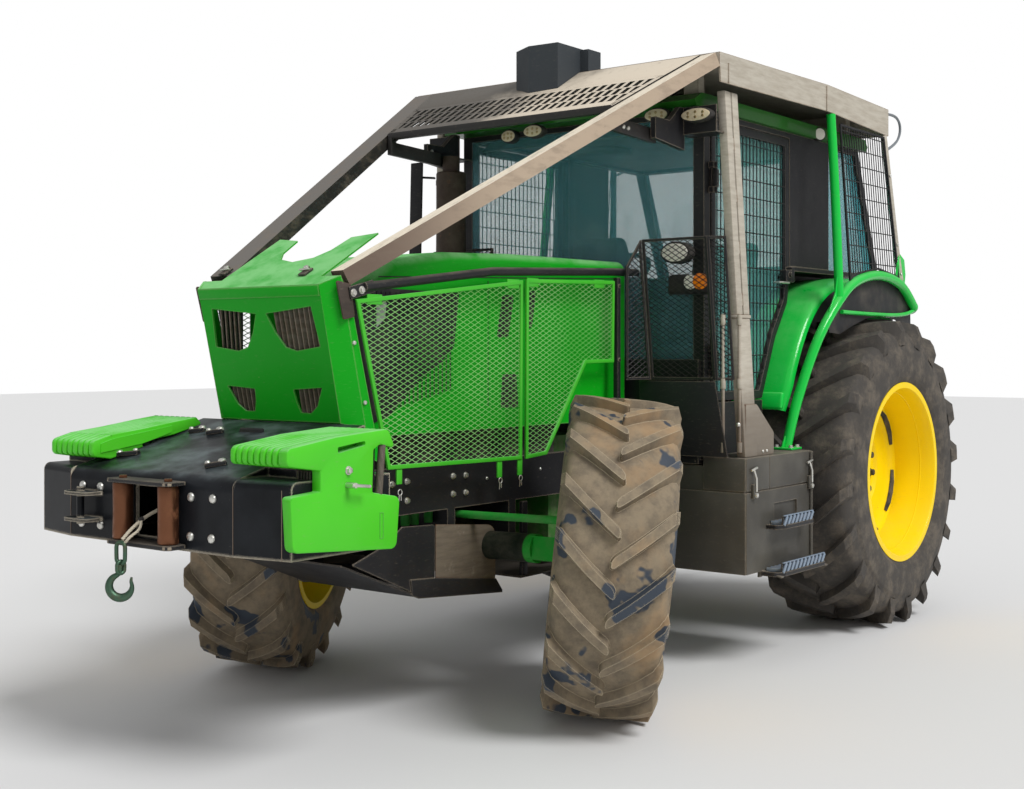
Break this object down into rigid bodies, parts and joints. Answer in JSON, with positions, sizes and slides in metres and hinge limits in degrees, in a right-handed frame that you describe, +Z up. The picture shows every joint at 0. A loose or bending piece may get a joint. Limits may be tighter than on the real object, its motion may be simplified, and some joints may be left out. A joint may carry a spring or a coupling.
{
  "type": "forestry tractor",
  "caption": "Forestry tractor with guarded cab, front winch box, hung ballast weights, roof risers, steered front axle and rear three-point hitch.",
  "frame": {"origin": "on the ground under the middle of the length and width", "axes": "X towards the tractor's left, Y towards its rear, Z up"},
  "size_m": [2.8973, 5.6831, 3.0672],
  "materials": {
    "black_plastic": "matte",
    "black_steel": "satin, chipped",
    "cast_green": "matte, dirty",
    "dark_casting": "matte",
    "green_paint": "gloss, weathered",
    "green_plastic": "gloss",
    "grey_steel": "weathered matte",
    "hook_steel": "worn",
    "lamp_lens": "clear",
    "link_steel": "worn",
    "roller_steel": "rusted",
    "seat_fabric": "woven",
    "tinted_glass": "clear, tinted",
    "tyre_rubber": "matte, muddy",
    "wire_rope": "stranded",
    "yellow_rim": "gloss"
  },
  "bodies": {
    "chassis": {"ballast_weights": "cast_green", "belly_guard": "black_steel", "cab_frame": "black_steel", "cab_front_guards": "black_steel", "cab_roof": "green_plastic", "cab_tub": "black_steel", "drawbar": "link_steel", "engine": "dark_casting", "exhaust_stack": "black_steel", "fairlead_rollers": "roller_steel", "fender_left": "green_plastic", "fender_right": "green_plastic", "fender_tubes": "green_paint", "front_axle": "cast_green", "front_frame": "black_steel", "fuel_tank_right": "black_steel", "guard_rails": "black_steel", "hood": "green_paint", "nose_guard": "green_paint", "outer_posts": "grey_steel", "rear_axle": "cast_green", "rear_side_guards": "black_steel", "rear_windows": "tinted_glass", "risers": "grey_steel", "roof_box": "black_plastic", "roof_brackets": "black_steel", "roof_guard": "grey_steel", "roof_lamps": "lamp_lens", "seat": "seat_fabric", "side_guards_front": "green_paint", "side_guards_rear": "green_paint", "steering_console": "black_plastic", "step_box_left": "black_steel", "transmission": "cast_green", "visor_grille": "black_steel", "winch_box": "black_steel", "winch_drum": "dark_casting", "winch_hook": "hook_steel", "winch_rope": "wire_rope", "windscreen": "tinted_glass"},
    "wheel_rear_left": {"tyre_rear_left": "tyre_rubber", "rim_rear_left": "yellow_rim"},
    "wheel_rear_right": {"tyre_rear_right": "tyre_rubber", "rim_rear_right": "yellow_rim"},
    "wheel_front_left": {"tyre_front_left": "tyre_rubber", "rim_front_left": "yellow_rim"},
    "wheel_front_right": {"tyre_front_right": "tyre_rubber", "rim_front_right": "yellow_rim"},
    "steered_hub_left": {"knuckle_left": "cast_green"},
    "steered_hub_right": {"knuckle_right": "cast_green"},
    "steering_link": {"steering_rod": "link_steel"},
    "left_door": {"door_left": "black_steel", "door_glass_left": "tinted_glass"},
    "right_door": {"door_right": "black_steel", "door_glass_right": "tinted_glass"},
    "hitch_links": {"lower_links": "link_steel"},
    "hitch_arms": {"lift_arms": "link_steel"},
    "hitch_rods": {"lift_rods": "link_steel"}
  },
  "joints": [
    {"name": "rear_left_spin", "type": "hinge", "parent": "chassis", "child": "wheel_rear_left", "pos_m": [0.842, 1.665, 0.86], "axis": [1, 0, 0], "continuous": true},
    {"name": "rear_right_spin", "type": "hinge", "parent": "chassis", "child": "wheel_rear_right", "pos_m": [-0.842, 1.665, 0.86], "axis": [1, 0, 0], "continuous": true},
    {"name": "steer_left", "type": "hinge", "parent": "chassis", "child": "steered_hub_left", "pos_m": [0.76881, -1.105, 0.6959], "axis": [-0.0218, 0.2079, 0.9779], "range_deg": [-62.5, 0]},
    {"name": "front_left_spin", "type": "hinge", "parent": "steered_hub_left", "child": "wheel_front_left", "pos_m": [0.90848, -1.00962, 0.67874], "axis": [0.8216, 0.561, -0.1009], "continuous": true},
    {"name": "steer_right", "type": "hinge", "parent": "chassis", "child": "steered_hub_right", "pos_m": [-0.76881, -1.105, 0.66157], "axis": [-0.0218, 0.2079, 0.9779], "range_deg": [-62.5, 0]},
    {"name": "front_right_spin", "type": "hinge", "parent": "steered_hub_right", "child": "wheel_front_right", "pos_m": [-0.91993, -1.18178, 0.67452], "axis": [0.8889, 0.4517, -0.0762], "continuous": true},
    {"name": "steering_link_slide", "type": "slide", "parent": "chassis", "child": "steering_link", "axis": [1, 0, 0], "range_m": [-0.19, 0]},
    {"name": "door_left_hinge", "type": "hinge", "parent": "chassis", "child": "left_door", "pos_m": [0.784, 0.105, 2], "axis": [0, 0, -1], "range_deg": [0, 75]},
    {"name": "door_right_hinge", "type": "hinge", "parent": "chassis", "child": "right_door", "pos_m": [-0.784, 0.105, 2], "axis": [0, 0, 1], "range_deg": [0, 75]},
    {"name": "hitch_lift", "type": "hinge", "parent": "chassis", "child": "hitch_links", "pos_m": [0, 1.935, 0.5], "axis": [1, 0, 0], "range_deg": [-12, 25]},
    {"name": "lift_arm_hinge", "type": "hinge", "parent": "chassis", "child": "hitch_arms", "pos_m": [0, 1.915, 1.04], "axis": [1, 0, 0], "range_deg": [-12, 25]},
    {"name": "lift_rod_hinge", "type": "hinge", "parent": "hitch_links", "child": "hitch_rods", "pos_m": [0, 2.355, 0.545], "axis": [1, 0, 0], "range_deg": [-25, 12]}
  ],
  "couplings": [
    {"joint": "steer_right", "follows": "steer_left", "ratio": 1},
    {"joint": "steering_link_slide", "follows": "steer_left", "m_per_rad": 0.17},
    {"joint": "lift_arm_hinge", "follows": "hitch_lift", "ratio": 1},
    {"joint": "lift_rod_hinge", "follows": "hitch_lift", "ratio": -1}
  ]
}
